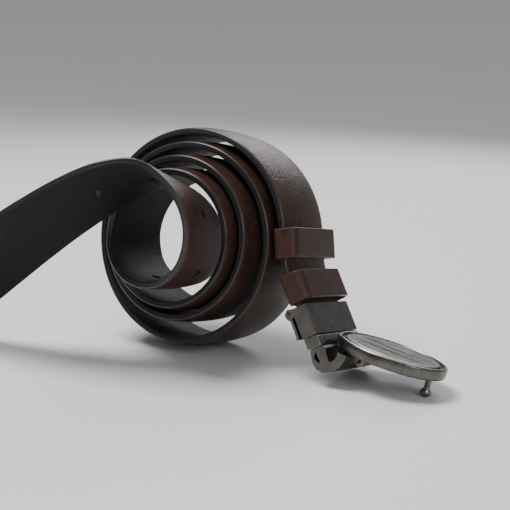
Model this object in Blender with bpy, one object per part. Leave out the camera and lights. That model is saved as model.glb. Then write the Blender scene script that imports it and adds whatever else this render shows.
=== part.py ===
"""Leather dress belt, coiled on its edge, with a reversible swivel buckle and an oval plate.

The belt is designed upright, with the coil's axis along +Y, and the whole of it except the free tail
then leans back about the rear bottom edge of the strap. Lengths are metres.
"""

import math

import bmesh
import bpy
import numpy as np
from mathutils import Matrix, Vector

MM = 0.001

# Strap
STRAP_WIDTH = 35.0 * MM
STRAP_THICKNESS = 3.8 * MM
LINING_THICKNESS = 0.9 * MM
FACE_THICKNESS = 0.9 * MM
EDGE_HEIGHT = 2.5 * MM
LAYER_GAP = 0.3 * MM
FILLER_GAP = 0.5 * MM
FILLER_HALF_WIDTH = 12.5 * MM
LINING_INSET = 0.3 * MM
HOLE_RADIUS = 1.9 * MM
HOLE_PITCH = 25.0 * MM
HOLE_COUNT = 5
FIRST_HOLE_FROM_TIP = 129.5 * MM
TIP_LENGTH = 20.0 * MM

# Coil: centre, lean, and (turn from the top, outer radius, shift to the front, twist), mm and degrees
COIL_CENTRE = (4.5 * MM, 47.2 * MM)
LEAN = math.radians(9.0)
ROLL = math.radians(2.7)
ORIGIN_SHIFT = (3.2 * MM, 21.2 * MM, -0.2 * MM)
COIL_START = 15.0
COIL_END = 1522.0
COIL_STEP = 15.0
COIL_KNOTS = (
    (15.0, 26.8, 51.5, 16.0),
    (60.0, 27.0, 44.0, 13.0),
    (105.0, 25.6, 38.5, 8.0),
    (150.0, 23.6, 34.5, 3.0),
    (200.0, 22.4, 31.0, 0.5),
    (270.0, 24.0, 25.0, 0.0),
    (360.0, 28.6, 18.0, 0.0),
    (540.0, 32.4, 13.0, 0.0),
    (720.0, 34.9, 10.5, 0.0),
    (900.0, 37.8, 8.0, 0.0),
    (1080.0, 41.2, 4.0, 0.0),
    (1170.0, 43.2, 1.5, 0.0),
    (1260.0, 48.0, 0.0, 0.0),
    (1350.0, 47.8, 0.0, 0.0),
    (1440.0, 47.4, 0.0, 0.0),
    (1522.0, 49.6, 0.0, 0.0),
)

# Free tail: centreline points in millimetres, from the tip to the coil, with the twist in degrees
TAIL_STEP = 4.5 * MM
TAIL_POINTS = (
    (-126.0, -56.0, 17.6, 90.0),
    (-110.0, -58.0, 17.9, 86.0),
    (-96.0, -59.5, 20.5, 70.0),
    (-81.0, -60.5, 28.2, 53.0),
    (-65.0, -60.5, 38.8, 40.0),
    (-49.0, -59.0, 50.2, 31.0),
    (-33.0, -56.0, 61.8, 25.0),
    (-18.0, -51.5, 72.0, 20.5),
    (-4.5, -45.7, 79.3, 17.5),
)

# Straight end of the strap after the coil: heading from straight down, and the run's pieces
HEADING_AT_COIL = 9.0
HEADING_AT_CLAMP = 29.0
KEEPER_RUN = 12.5 * MM
BEND_RUN = 6.0 * MM
CLAMP_RUN = 14.0 * MM
TUCK = 10.2 * MM

# Keepers
KEEPER_HEIGHT = 12.5 * MM
KEEPER_WALL = 1.4 * MM
KEEPER_BACK_GAP = 0.5 * MM
KEEPER_FRONT_GAP = 3.1 * MM
KEEPER_SIDE_GAP = 0.5 * MM
KEEPER_CORNER = 2.2 * MM
KEEPER_TO_CLAMP = 0.8 * MM

# Clamp box, in the clamp's frame: x towards the outside, y across, z back up the strap
BOX_HALF_WIDTH = 19.0 * MM
BOX_FRONT = 3.3 * MM
BOX_BACK = -3.3 * MM
BOX_LENGTH = 13.0 * MM
BOX_SHEET = 0.9 * MM
BOX_FLOOR = 1.3 * MM
LEVER_PIN = (-4.9 * MM, -1.1 * MM)
LEVER_PIN_RADIUS = 0.7 * MM
LEVER_KNUCKLE_RADIUS = 1.75 * MM
LEVER_LENGTH = 11.0 * MM
LEVER_SHEET = 1.2 * MM
LEVER_HALF_WIDTH = 17.2 * MM
BOX_LUG_LENGTH = 3.0 * MM
TOOTH_COUNT = 9
RUNNING_GAP = 0.2 * MM
FIT_GAP = 0.3 * MM

# Swivel
POST_RADIUS = 0.9 * MM
POST_HEAD_RADIUS = 1.6 * MM
POST_HEAD_HEIGHT = 0.8 * MM
BORE_RADIUS = 1.9 * MM
COLLAR_LENGTH = 4.5 * MM
COLLAR_HALF_WIDTH = 18.4 * MM
COLLAR_HALF_DEPTH = 3.2 * MM
COLLAR_TOP_WALL = 1.0 * MM
WASHER_THICKNESS = 0.6 * MM
SPRING_WIRE = 0.45 * MM
SPRING_TURNS = 4.5
SPRING_LENGTH = 4.4 * MM
DOWEL_RADIUS = 0.8 * MM
DOWEL_OFFSET = 11.0 * MM

# Gooseneck, as an outline in the clamp's frame, in millimetres
NECK_HALF_WIDTH = 16.8 * MM
NECK_BACK = ((-3.1, -18.1), (-4.1, -22.6), (-3.6, -25.8), (-1.4, -28.3), (2.2, -29.4), (6.2, -29.0))
NECK_LIMB = ((9.4, -27.4), (11.0, -25.8), (7.9, -23.1), (7.2, -24.3), (5.6, -25.3))
NECK_WEDGE = ((3.2, -25.5), (2.9, -24.8), (3.6, -19.5), (3.0, -18.1))
NECK_RECESS = ((-1.0, -18.9), (-0.6, -24.2), (-1.9, -23.6), (-2.6, -21.6))
NECK_RECESS_DEPTH = 4.0 * MM
NECK_HINGE = (12.8 * MM, -29.6 * MM)
NECK_KNUCKLE_RADIUS = 1.9 * MM
NECK_KNUCKLE_HALF_WIDTH = 8.2 * MM

# Plate, in the hinge's frame: x along the plate, y across, z out of its face
PLATE_SLOPE = 12.0
PLATE_HALF_LENGTH = 23.6 * MM
PLATE_HALF_WIDTH = 18.5 * MM
PLATE_CENTRE = 7.9 * MM
PLATE_UNDERSIDE = 2.25 * MM
PLATE_THICKNESS = 5.1 * MM
RIM_WIDTH = 1.3 * MM
FIELD_HALF_LENGTH = 20.2 * MM
FIELD_HALF_WIDTH = 15.1 * MM
FIELD_HEIGHT = 0.9 * MM
RECESS_DEPTH = 1.3 * MM
GROOVE_OFFSET = 3.6 * MM
GROOVE_WIDTH = 1.0 * MM
GROOVE_DEPTH = 0.5 * MM
EAR_THICKNESS = 2.6 * MM
PLATE_PIN_RADIUS = 0.9 * MM
STUD_POSITION = 26.0 * MM
STUD_STEM_RADIUS = 1.3 * MM
STUD_HEAD_RADIUS = 2.3 * MM
STUD_HEIGHT = 7.8 * MM

SIDES = 24
SMALL_SIDES = 16


def clear_scene():
    for obj in list(bpy.data.objects):
        bpy.data.objects.remove(obj)


def material(name, colour, roughness, metallic):
    made = bpy.data.materials.new(name)
    made.use_nodes = True
    shader = made.node_tree.nodes["Principled BSDF"]
    shader.inputs["Base Color"].default_value = (*colour, 1.0)
    shader.inputs["Roughness"].default_value = roughness
    shader.inputs["Metallic"].default_value = metallic
    return made


def add_object(name, mesh, finish, parent=None):
    """Links a mesh as an object, in its parent's frame."""
    obj = bpy.data.objects.new(name, mesh)
    bpy.context.collection.objects.link(obj)
    if finish:
        mesh.materials.append(finish)
    obj.parent = parent
    return obj


def add_frame(name, matrix, parent=None):
    """An empty that carries the frame its children are drawn in."""
    empty = bpy.data.objects.new(name, None)
    bpy.context.collection.objects.link(empty)
    empty.parent = parent
    empty.matrix_local = matrix
    return empty


def mesh_of(name, points, faces):
    mesh = bpy.data.meshes.new(name)
    mesh.from_pydata([tuple(p) for p in points], [], faces)
    edit = bmesh.new()
    edit.from_mesh(mesh)
    bmesh.ops.recalc_face_normals(edit, faces=edit.faces)
    edit.to_mesh(mesh)
    edit.free()
    mesh.update()
    return mesh


def shade_round(obj, angle=40.0):
    obj.data.shade_smooth()
    obj.data.set_sharp_from_angle(angle=math.radians(angle))
    return obj


def prism(name, outline, low, high, finish, parent=None):
    """An outline in the frame's x-z plane, extruded along y from low to high."""
    count = len(outline)
    points = [(x, y, z) for y in (low, high) for x, z in outline]
    sides = [(i, (i + 1) % count, count + (i + 1) % count, count + i) for i in range(count)]
    faces = [tuple(range(count)), tuple(range(2 * count - 1, count - 1, -1))] + sides
    return add_object(name, mesh_of(name, points, faces), finish, parent)


def turned(name, profile, finish, parent, axis="Z", at=(0.0, 0.0, 0.0), sides=SIDES):
    """A closed (radius, height) outline turned about an axis through a point."""
    edit = bmesh.new()
    ring = [edit.verts.new((r, 0.0, z)) for r, z in profile]
    edges = [edit.edges.new((ring[i], ring[(i + 1) % len(ring)])) for i in range(len(ring))]
    bmesh.ops.spin(
        edit, geom=ring + edges, axis=(0, 0, 1), cent=(0, 0, 0), steps=sides,
        angle=math.tau, use_merge=True,
    )
    bmesh.ops.remove_doubles(edit, verts=edit.verts, dist=1e-6)
    bmesh.ops.recalc_face_normals(edit, faces=edit.faces)
    mesh = bpy.data.meshes.new(name)
    edit.to_mesh(mesh)
    edit.free()
    turn = {"Z": Matrix(), "Y": Matrix.Rotation(-math.pi / 2, 4, "X")}[axis]
    mesh.transform(Matrix.Translation(at) @ turn)
    return shade_round(add_object(name, mesh, finish, parent))


def cylinder(name, radius, low, high, finish, parent, axis="Z", at=(0.0, 0.0, 0.0), sides=SIDES):
    """A plain round bar along an axis through a point, from low to high."""
    edit = bmesh.new()
    bmesh.ops.create_cone(
        edit, cap_ends=True, segments=sides, radius1=radius, radius2=radius, depth=high - low
    )
    mesh = bpy.data.meshes.new(name)
    edit.to_mesh(mesh)
    edit.free()
    turn = {"Z": Matrix(), "Y": Matrix.Rotation(-math.pi / 2, 4, "X")}[axis]
    lift = Matrix.Translation((0, 0, (low + high) / 2))
    mesh.transform(Matrix.Translation(at) @ turn @ lift)
    return shade_round(add_object(name, mesh, finish, parent))


def combine(obj, tool, operation, solver="EXACT"):
    """Adds a Boolean to obj and hides the tool, which is only a helper."""
    tool.hide_render = True
    tool.display_type = "WIRE"
    modifier = obj.modifiers.new(f"{operation}_{tool.name}", "BOOLEAN")
    modifier.operation = operation
    modifier.solver = solver
    modifier.object = tool
    return obj


def arc(centre, radius, start, end, count):
    """Points on an arc in the x-z plane, angles in degrees from +x towards +z."""
    angles = np.radians(np.linspace(start, end, count))
    return [(centre[0] + radius * math.cos(a), centre[1] + radius * math.sin(a)) for a in angles]


def smooth_curve(knots, at):
    """Reads rows of values from a C1 cubic through knots, whose first column is the parameter."""
    knots = np.array(knots, float)
    x, y = knots[:, 0], knots[:, 1:]
    slope = np.gradient(y, x, axis=0)
    at = np.atleast_1d(np.asarray(at, float))
    i = np.clip(np.searchsorted(x, at, side="right") - 1, 0, len(x) - 2)
    span = (x[i + 1] - x[i])[:, None]
    u = ((at - x[i]) / span[:, 0])[:, None]
    start = (1 + 2 * u) * (1 - u) ** 2 * y[i] + u * (1 - u) ** 2 * span * slope[i]
    end = u * u * (3 - 2 * u) * y[i + 1] + u * u * (u - 1) * span * slope[i + 1]
    return start + end


def lean_matrix():
    """Leans the upright design back about the strap's rear bottom edge and rolls it about Y.

    The shift puts the origin under the middle of the whole belt.
    """
    pivot = Matrix.Translation((0.0, STRAP_WIDTH / 2, 0.0))
    leaned = pivot @ Matrix.Rotation(-LEAN, 4, "X") @ pivot.inverted()
    return Matrix.Translation(ORIGIN_SHIFT) @ Matrix.Rotation(-ROLL, 4, "Y") @ leaned


def coil_stations():
    """Centreline points and twists of the coil, upright, from its inner end to its outer end."""
    count = round((COIL_END - COIL_START) / COIL_STEP)
    turns = np.linspace(COIL_START, COIL_END, count + 1)
    radius, shift, twist = smooth_curve(COIL_KNOTS, turns).T
    radius = radius * MM - STRAP_THICKNESS / 2
    angle = np.radians(turns)
    x = COIL_CENTRE[0] + radius * np.sin(angle)
    z = COIL_CENTRE[1] + radius * np.cos(angle)
    return np.stack([x, -shift * MM, z], axis=1), np.radians(twist)


def end_run():
    """Centreline points after the coil, upright, and the (point, heading) of keepers and clamp."""
    start = coil_stations()[0][-1]
    bend = math.radians(HEADING_AT_CLAMP - HEADING_AT_COIL)
    steps = [(KEEPER_RUN / 2, 0.0)] * 2 + [(BEND_RUN / 4, bend / 4)] * 4
    steps += [(CLAMP_RUN / 2, 0.0)] * 2 + [(KEEPER_TO_CLAMP, 0.0), (TUCK, 0.0)]
    heading = math.radians(HEADING_AT_COIL)
    points, headings = [start], [heading]
    for length, turn in steps:
        heading += turn / 2
        ahead = np.array([math.sin(heading), 0.0, -math.cos(heading)])
        points.append(points[-1] + length * ahead)
        heading += turn / 2
        headings.append(heading)
    marks = {
        "sliding": (points[1], headings[1]),
        "fixed": (points[7], headings[7]),
        "clamp": (points[9], headings[9]),
    }
    return np.array(points[1:]), marks


def tail_stations():
    """Centreline points and twists of the free tail, in the world, from the tip to the coil."""
    lean = np.array(lean_matrix())
    coil, twist = coil_stations()
    joined = (coil[:2] @ lean[:3, :3].T + lean[:3, 3]) / MM
    guide = np.array(TAIL_POINTS)
    guide[:, :3] += np.array(ORIGIN_SHIFT) / MM
    rows = np.vstack([guide, np.column_stack([joined, np.degrees(twist[:2])])])
    chord = np.concatenate([[0.0], np.cumsum(np.linalg.norm(np.diff(rows[:, :3], axis=0), axis=1))])
    knots = np.column_stack([chord, rows])
    length = chord[-2]
    tip = np.array([0.0, 1.0, 3.0, 6.5, 11.0, 16.0]) * MM / MM
    rest = np.linspace(22.0, length, round((length - 22.0) * MM / TAIL_STEP) + 1)[:-1]
    read = smooth_curve(knots, np.concatenate([tip, rest]))
    return read[:, :3] * MM, np.radians(read[:, 3])


def strap_frames():
    """Points, across directions and outward normals along the whole strap, tip first, in the world."""
    lean = np.array(lean_matrix())
    coil, coil_twist = coil_stations()
    end = end_run()[0]
    body = np.vstack([coil, end]) @ lean[:3, :3].T + lean[:3, 3]
    tail, tail_twist = tail_stations()
    points = np.vstack([tail, body])
    twist = np.concatenate([tail_twist, coil_twist, np.zeros(len(end))])[:, None]
    tangent = np.gradient(points, axis=0)
    tangent /= np.linalg.norm(tangent, axis=1)[:, None]
    leaned_y = lean[:3, 1]
    blend = np.clip(np.degrees(twist) / 60.0, 0.0, 1.0)
    level = leaned_y * (1 - blend) + np.array([0.0, 1.0, 0.0]) * blend
    level = level - (level * tangent).sum(axis=1)[:, None] * tangent
    level /= np.linalg.norm(level, axis=1)[:, None]
    down = np.cross(level, tangent)
    down /= np.linalg.norm(down, axis=1)[:, None]
    across = level * np.cos(twist) + down * np.sin(twist)
    normal = np.cross(tangent, across)
    run = np.concatenate([[0.0], np.cumsum(np.linalg.norm(np.diff(points, axis=0), axis=1))])
    return points, across, normal, run


def tip_factor(run):
    """How much of its width the strap keeps at a distance from the tip: a rounded end."""
    u = np.clip(run / TIP_LENGTH, 0.0, 1.0)
    return 0.16 + 0.84 * np.sqrt(1.0 - (1.0 - u) ** 2.2)


def dome(x):
    """Height of the outer face over the lining's back, across the strap."""
    u = np.clip(np.abs(x) / (STRAP_WIDTH / 2), 0.0, 1.0)
    return EDGE_HEIGHT + (STRAP_THICKNESS - EDGE_HEIGHT) * (1.0 - u**2) ** 0.7


def face_section():
    half, low = STRAP_WIDTH / 2, LINING_THICKNESS + LAYER_GAP
    top_x = np.array([-half, -FILLER_HALF_WIDTH, 0.0, FILLER_HALF_WIDTH, half])
    under_x = np.array([FILLER_HALF_WIDTH, 0.0, -FILLER_HALF_WIDTH])
    under = dome(under_x) - FACE_THICKNESS
    return [*zip(top_x, dome(top_x)), (half, low), *zip(under_x, under), (-half, low)]


def filler_section():
    low = LINING_THICKNESS + FILLER_GAP
    x = np.array([-FILLER_HALF_WIDTH, 0.0, FILLER_HALF_WIDTH])
    top = dome(x) - FACE_THICKNESS - FILLER_GAP
    return [*zip(x, top), *((side, low) for side in x[::-1])]


def lining_section():
    half = STRAP_WIDTH / 2 - LINING_INSET
    top_x = (-half, -FILLER_HALF_WIDTH, 0.0, FILLER_HALF_WIDTH, half)
    return [*((x, LINING_THICKNESS) for x in top_x), (half, 0.0), (-half, 0.0)]


def strap_layer(name, section, finish, skip_tip=0.0):
    """Carries a section along the strap, narrowing it at the tip, and closes both ends.

    Every layer is split along the same diagonals, so that twisted layers stay parallel.
    """
    points, across, normal, run = strap_frames()
    keep = run >= skip_tip
    points, across, normal, run = points[keep], across[keep], normal[keep], run[keep]
    section = np.array(section)
    width = section[None, :, 0] * tip_factor(run)[:, None]
    height = section[None, :, 1] - STRAP_THICKNESS / 2
    rings = (
        points[:, None, :]
        + width[:, :, None] * across[:, None, :]
        + np.broadcast_to(height, width.shape)[:, :, None] * normal[:, None, :]
    )
    stations, count = width.shape
    faces = []
    for i in range(stations - 1):
        for j in range(count):
            k = (j + 1) % count
            a, b, c, d = i * count + j, i * count + k, (i + 1) * count + k, (i + 1) * count + j
            rising = section[k, 0] > section[j, 0]
            faces += [(a, b, c), (a, c, d)] if rising else [(a, b, d), (b, c, d)]
    faces.append(tuple(range(count)))
    faces.append(tuple((stations - 1) * count + j for j in reversed(range(count))))
    obj = add_object(name, mesh_of(name, rings.reshape(-1, 3), faces), finish)
    return shade_round(obj, 30.0)


def hole_punch():
    """The row of round punches that cuts all three layers of the strap."""
    points, across, normal, run = strap_frames()
    edit = bmesh.new()
    for i in range(HOLE_COUNT):
        at = FIRST_HOLE_FROM_TIP + i * HOLE_PITCH
        where = [np.interp(at, run, points[:, k]) for k in range(3)]
        outward = Vector([np.interp(at, run, normal[:, k]) for k in range(3)]).normalized()
        turn = outward.to_track_quat("Z", "Y").to_matrix().to_4x4()
        bmesh.ops.create_cone(
            edit, cap_ends=True, segments=12, radius1=HOLE_RADIUS, radius2=HOLE_RADIUS,
            depth=2.2 * STRAP_THICKNESS, matrix=Matrix.Translation(where) @ turn,
        )
    mesh = bpy.data.meshes.new("hole_punch")
    edit.to_mesh(mesh)
    edit.free()
    return add_object("hole_punch", mesh, None)


def build_strap(finishes):
    layers = [
        strap_layer("strap_face", face_section(), finishes["face_leather"]),
        strap_layer("strap_filler", filler_section(), finishes["filler"], skip_tip=TIP_LENGTH),
        strap_layer("strap_lining", lining_section(), finishes["lining_leather"]),
    ]
    punch = hole_punch()
    for layer in layers:
        combine(layer, punch, "DIFFERENCE", "MANIFOLD")


def run_frame(name, mark, stand):
    """A frame on the strap: x outwards, y across, z back up the strap."""
    point, heading = mark
    turn = Matrix.Rotation(-heading, 4, "Y")
    return add_frame(name, Matrix.Translation(point) @ turn, stand)


def rounded_rectangle(low_x, high_x, half_y, corner, count=4):
    """A rounded rectangle as (x, y) points, anticlockwise."""
    centres = (
        (high_x - corner, half_y - corner, 0.0),
        (low_x + corner, half_y - corner, 90.0),
        (low_x + corner, -half_y + corner, 180.0),
        (high_x - corner, -half_y + corner, 270.0),
    )
    return [p for x, y, start in centres for p in arc((x, y), corner, start, start + 90.0, count)]


def build_keeper(name, frame, finish):
    """A flat leather loop round the strap, with room in front for the tail."""
    half = STRAP_THICKNESS / 2
    low, high = -half - KEEPER_BACK_GAP, half + KEEPER_FRONT_GAP
    side = STRAP_WIDTH / 2 + KEEPER_SIDE_GAP
    inner = rounded_rectangle(low, high, side, KEEPER_CORNER - KEEPER_WALL)
    outer = rounded_rectangle(low - KEEPER_WALL, high + KEEPER_WALL, side + KEEPER_WALL, KEEPER_CORNER)
    count = len(inner)
    rise = KEEPER_HEIGHT / 2
    points = [(x, y, z) for z in (-rise, rise) for ring in (inner, outer) for x, y in ring]
    faces = []
    for i in range(count):
        j = (i + 1) % count
        for a, b in ((0, 1), (1, 3), (3, 2), (2, 0)):
            faces.append((a * count + i, a * count + j, b * count + j, b * count + i))
    return shade_round(add_object(name, mesh_of(name, points, faces), finish, frame), 30.0)


def build_clamp(frame, finishes):
    """The clamp box, open at its back and mouth, with two lugs that hold the lever's pin."""
    steel = finishes["buckle_metal"]
    wall = BOX_HALF_WIDTH
    outline = [(BOX_BACK, 0.0), (BOX_FRONT, 0.0), (BOX_FRONT, -BOX_LENGTH), (BOX_BACK, -BOX_LENGTH)]
    box = prism("clamp_box", outline, -wall, wall, steel, frame)
    inside = BOX_FRONT - BOX_SHEET
    hollow = [
        (BOX_BACK - 1 * MM, 1 * MM),
        (inside, 1 * MM),
        (inside, -BOX_LENGTH + BOX_FLOOR),
        (BOX_BACK - 1 * MM, -BOX_LENGTH + BOX_FLOOR),
    ]
    room = prism("clamp_hollow", hollow, -wall + BOX_SHEET, wall - BOX_SHEET, None, frame)
    combine(box, room, "DIFFERENCE")
    lug_low = wall - BOX_SHEET
    for side in (-1, 1):
        ends = sorted((side * lug_low, side * wall))
        tongue = [
            (BOX_BACK + 1 * MM, 0.0),
            (LEVER_PIN[0], LEVER_PIN[1] + LEVER_KNUCKLE_RADIUS),
            *arc(LEVER_PIN, LEVER_KNUCKLE_RADIUS, 110.0, 250.0, 8),
            (LEVER_PIN[0], LEVER_PIN[1] - LEVER_KNUCKLE_RADIUS),
            (BOX_BACK + 1 * MM, LEVER_PIN[1] - LEVER_KNUCKLE_RADIUS - 1.2 * MM),
        ]
        lug = prism(f"box_lug_{side}", tongue, ends[0], ends[1], None, frame)
        combine(box, lug, "UNION")
    pin_hole = cylinder(
        "lever_pin_hole", LEVER_PIN_RADIUS + RUNNING_GAP, -2 * wall, 2 * wall, None, frame,
        axis="Y", at=(LEVER_PIN[0], 0.0, LEVER_PIN[1]), sides=SMALL_SIDES,
    )
    combine(box, pin_hole, "DIFFERENCE")
    post_hole = cylinder(
        "post_hole", POST_RADIUS + FIT_GAP, -BOX_LENGTH - 1 * MM, -BOX_LENGTH + 3 * MM, None, frame,
        sides=SMALL_SIDES,
    )
    combine(box, post_hole, "DIFFERENCE")
    cylinder(
        "lever_pin", LEVER_PIN_RADIUS, -wall - 0.2 * MM, wall + 0.2 * MM, finishes["pin_steel"], frame,
        axis="Y", at=(LEVER_PIN[0], 0.0, LEVER_PIN[1]), sides=SMALL_SIDES,
    )


def build_lever(frame, finishes):
    """The hinged back plate, rolled round its pin, with a finger lip and teeth that grip the lining."""
    pivot = add_frame(
        "lever_axis", Matrix.Translation((LEVER_PIN[0], 0.0, LEVER_PIN[1])), frame
    )
    half = LEVER_HALF_WIDTH
    knuckle = LEVER_KNUCKLE_RADIUS
    inner = -knuckle + LEVER_SHEET
    outline = [
        *arc((0.0, 0.0), knuckle, -60.0, 180.0, 14),
        (-knuckle, -LEVER_LENGTH + 1.4 * MM),
        (-knuckle - 0.5 * MM, -LEVER_LENGTH),
        (inner - 0.3 * MM, -LEVER_LENGTH),
        (inner, -LEVER_LENGTH + 1.4 * MM),
        (inner, -knuckle - 0.3 * MM),
    ]
    lever = prism("clamp_lever", outline, -half, half, finishes["buckle_metal"], pivot)
    lip_low, lip_high = knuckle + 0.8 * MM, knuckle + 1.5 * MM
    lip = arc((0.0, 0.0), lip_high, 160.0, 240.0, 8) + arc((0.0, 0.0), lip_low, 240.0, 160.0, 8)
    finger = prism("finger_lip", lip, -half, half, None, pivot)
    combine(lever, finger, "UNION")
    reach = -STRAP_THICKNESS / 2 - FIT_GAP - LEVER_PIN[0]
    pitch = 2 * (half - 1.5 * MM) / TOOTH_COUNT
    centre = -6.2 * MM
    low = -half + 1.5 * MM
    comb = [(inner - 0.3 * MM, low), (reach - 0.7 * MM, low)]
    for i in range(TOOTH_COUNT):
        comb.append((reach, low + (i + 0.5) * pitch))
        comb.append((reach - 0.7 * MM, low + (i + 1) * pitch))
    comb.append((inner - 0.3 * MM, -low))
    count = len(comb)
    points = [(x, y, z) for z in (centre - 0.6 * MM, centre + 0.6 * MM) for x, y in comb]
    faces = [(i, (i + 1) % count, count + (i + 1) % count, count + i) for i in range(count)]
    faces += [tuple(range(count)), tuple(range(2 * count - 1, count - 1, -1))]
    strip = add_object("tooth_strip", mesh_of("tooth_strip", points, faces), None, pivot)
    combine(lever, strip, "UNION")
    bore = cylinder(
        "lever_bore", LEVER_PIN_RADIUS + RUNNING_GAP, -2 * half, 2 * half, None, pivot,
        axis="Y", sides=SMALL_SIDES,
    )
    combine(lever, bore, "DIFFERENCE")


def spring_mesh(name, low):
    """A round-wire coil spring standing on z = low."""
    radius = (POST_RADIUS + BORE_RADIUS) / 2
    steps, sides = round(SPRING_TURNS * 10), 6
    t = np.linspace(0.0, SPRING_TURNS * math.tau, steps + 1)
    centre = np.stack([radius * np.cos(t), radius * np.sin(t), low + SPRING_LENGTH * t / t[-1]], axis=1)
    out = np.stack([np.cos(t), np.sin(t), np.zeros_like(t)], axis=1)
    around = np.linspace(0.0, math.tau, sides, endpoint=False)
    rings = centre[:, None, :] + SPRING_WIRE / 2 * (
        np.cos(around)[None, :, None] * out[:, None, :]
        + np.sin(around)[None, :, None] * np.array([0.0, 0.0, 1.0])
    )
    faces = [
        (i * sides + j, i * sides + (j + 1) % sides, (i + 1) * sides + (j + 1) % sides, (i + 1) * sides + j)
        for i in range(steps)
        for j in range(sides)
    ]
    faces += [tuple(range(sides)), tuple(steps * sides + j for j in reversed(range(sides)))]
    return mesh_of(name, rings.reshape(-1, 3), faces)


def swivel_levels():
    """Heights of the swivel's parts in the clamp's frame."""
    collar_top = -BOX_LENGTH - FIT_GAP
    washer_top = collar_top - COLLAR_TOP_WALL - FIT_GAP
    spring_top = washer_top - WASHER_THICKNESS - 0.4 * MM
    head_top = spring_top - SPRING_LENGTH - 0.4 * MM
    return collar_top, washer_top, spring_top, head_top


def build_swivel(frame, finishes):
    """The post riveted in the box's floor, its spring and washer, which let the neck pull out and turn."""
    collar_top, washer_top, spring_top, head_top = swivel_levels()
    floor = -BOX_LENGTH + BOX_FLOOR
    post = [
        (0.0, floor + 0.7 * MM),
        (POST_HEAD_RADIUS, floor + 0.7 * MM),
        (POST_HEAD_RADIUS, floor + FIT_GAP),
        (POST_RADIUS, floor + FIT_GAP),
        (POST_RADIUS, head_top),
        (POST_HEAD_RADIUS, head_top),
        (POST_HEAD_RADIUS, head_top - POST_HEAD_HEIGHT),
        (0.0, head_top - POST_HEAD_HEIGHT),
    ]
    turned("swivel_post", post, finishes["pin_steel"], frame)
    spring = spring_mesh("swivel_spring", spring_top - SPRING_LENGTH)
    shade_round(add_object("swivel_spring", spring, finishes["pin_steel"], frame), 80.0)
    ring = [
        (POST_RADIUS + RUNNING_GAP, washer_top),
        (BORE_RADIUS - RUNNING_GAP, washer_top),
        (BORE_RADIUS - RUNNING_GAP, washer_top - WASHER_THICKNESS),
        (POST_RADIUS + RUNNING_GAP, washer_top - WASHER_THICKNESS),
    ]
    turned("spring_washer", ring, finishes["pin_steel"], frame)


def build_neck(frame, finishes):
    """The collar that meets the box and the gooseneck under it, which carries the plate's hinge."""
    steel = finishes["buckle_metal"]
    collar_top, washer_top, spring_top, head_top = swivel_levels()
    collar_low = collar_top - COLLAR_LENGTH
    depth = COLLAR_HALF_DEPTH
    outline = [
        (-depth, collar_top),
        (depth - 0.5 * MM, collar_top),
        (depth, collar_top - 0.5 * MM),
        (depth, collar_low),
        (-depth, collar_low),
    ]
    collar = prism("neck_collar", outline, -COLLAR_HALF_WIDTH, COLLAR_HALF_WIDTH, steel, frame)
    mouth = cylinder(
        "collar_mouth", POST_RADIUS + FIT_GAP, collar_low, collar_top + 1 * MM, None, frame,
        sides=SMALL_SIDES,
    )
    bore = cylinder(
        "collar_bore", BORE_RADIUS, collar_low - 1 * MM, collar_top - COLLAR_TOP_WALL, None, frame
    )
    combine(combine(collar, mouth, "DIFFERENCE"), bore, "DIFFERENCE")

    top = collar_low - FIT_GAP
    outline = [(x * MM, min(z * MM, top)) for x, z in NECK_BACK + NECK_LIMB + NECK_WEDGE]
    neck = prism("gooseneck", outline, -NECK_HALF_WIDTH, NECK_HALF_WIDTH, steel, frame)
    recess = [(x * MM, z * MM) for x, z in NECK_RECESS]
    for name, side in (("left", -1), ("right", 1)):
        ends = sorted((side * (NECK_HALF_WIDTH - NECK_RECESS_DEPTH), side * (NECK_HALF_WIDTH + 1 * MM)))
        combine(neck, prism(f"neck_recess_{name}", recess, ends[0], ends[1], None, frame), "DIFFERENCE")
    hinge = NECK_HINGE
    bridge = [
        (7.0 * MM, -28.2 * MM),
        (10.6 * MM, -26.2 * MM),
        (hinge[0] + 0.2 * MM, hinge[1] + 1.5 * MM),
        (hinge[0], hinge[1] - 1.0 * MM),
    ]
    reach = NECK_KNUCKLE_HALF_WIDTH
    combine(neck, prism("neck_bridge", bridge, -reach, reach, None, frame), "UNION")
    at = (hinge[0], 0.0, hinge[1])
    knuckle = cylinder(
        "neck_knuckle", NECK_KNUCKLE_RADIUS, -reach, reach, None, frame, axis="Y", at=at
    )
    combine(neck, knuckle, "UNION")
    spring_room = cylinder(
        "neck_bore", BORE_RADIUS, head_top - POST_HEAD_HEIGHT - 0.7 * MM, top + 1 * MM, None, frame
    )
    combine(neck, spring_room, "DIFFERENCE")
    pin_bore = cylinder(
        "neck_pin_bore", PLATE_PIN_RADIUS + RUNNING_GAP, -20 * MM, 20 * MM, None, frame,
        axis="Y", at=at, sides=SMALL_SIDES,
    )
    combine(neck, pin_bore, "DIFFERENCE")
    for name, side in (("left", -1), ("right", 1)):
        at = (0.0, side * DOWEL_OFFSET, 0.0)
        low, high = top - 2.6 * MM, collar_low + 2.6 * MM
        room = cylinder(
            f"dowel_hole_{name}", DOWEL_RADIUS + FIT_GAP, low - FIT_GAP, high + FIT_GAP, None, frame,
            at=at, sides=12,
        )
        combine(collar, room, "DIFFERENCE")
        combine(neck, room, "DIFFERENCE")
        cylinder(
            f"neck_dowel_{name}", DOWEL_RADIUS, low, high, finishes["pin_steel"], frame, at=at, sides=12
        )


def ellipse(half_x, half_y, count=48):
    angles = np.linspace(0.0, math.tau, count, endpoint=False)
    return [(half_x * math.cos(a), half_y * math.sin(a)) for a in angles]


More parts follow.
